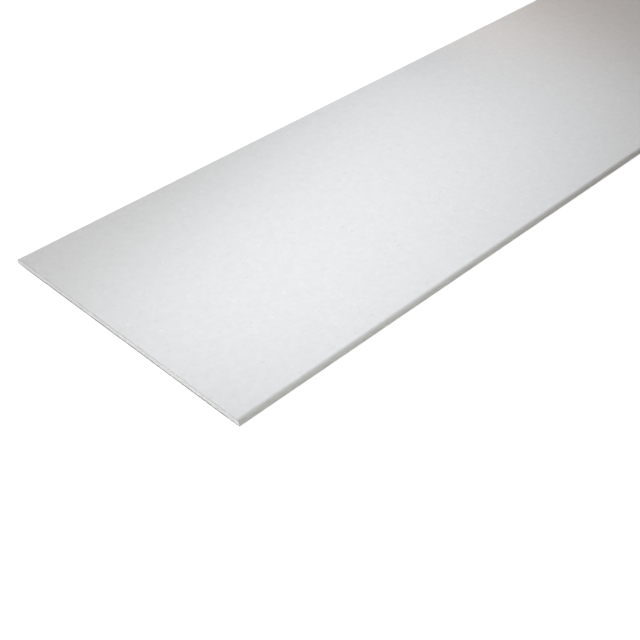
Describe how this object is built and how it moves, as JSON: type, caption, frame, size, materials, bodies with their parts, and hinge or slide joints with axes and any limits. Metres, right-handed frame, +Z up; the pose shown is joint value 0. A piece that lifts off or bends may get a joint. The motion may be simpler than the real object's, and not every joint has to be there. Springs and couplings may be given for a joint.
{
  "type": "drywall sheet",
  "caption": "Flat drywall sheet for lining walls and ceilings: a gypsum core wrapped in paper, with rounded long edges and square-cut ends.",
  "frame": {"origin": "middle of the sheet's back, on the surface that it lies on", "axes": "+X along the length, +Y across the width, +Z up out of the face"},
  "size_m": [2, 0.6, 0.0125],
  "materials": {
    "gypsum": "matte, chalky, finely pitted",
    "face_paper": "matte, smooth, light grey",
    "back_paper": "matte, rougher, grey brown"
  },
  "bodies": {
    "root": {"gypsum_core": "gypsum", "face_paper": "face_paper", "back_paper": "back_paper"}
  },
  "joints": []
}
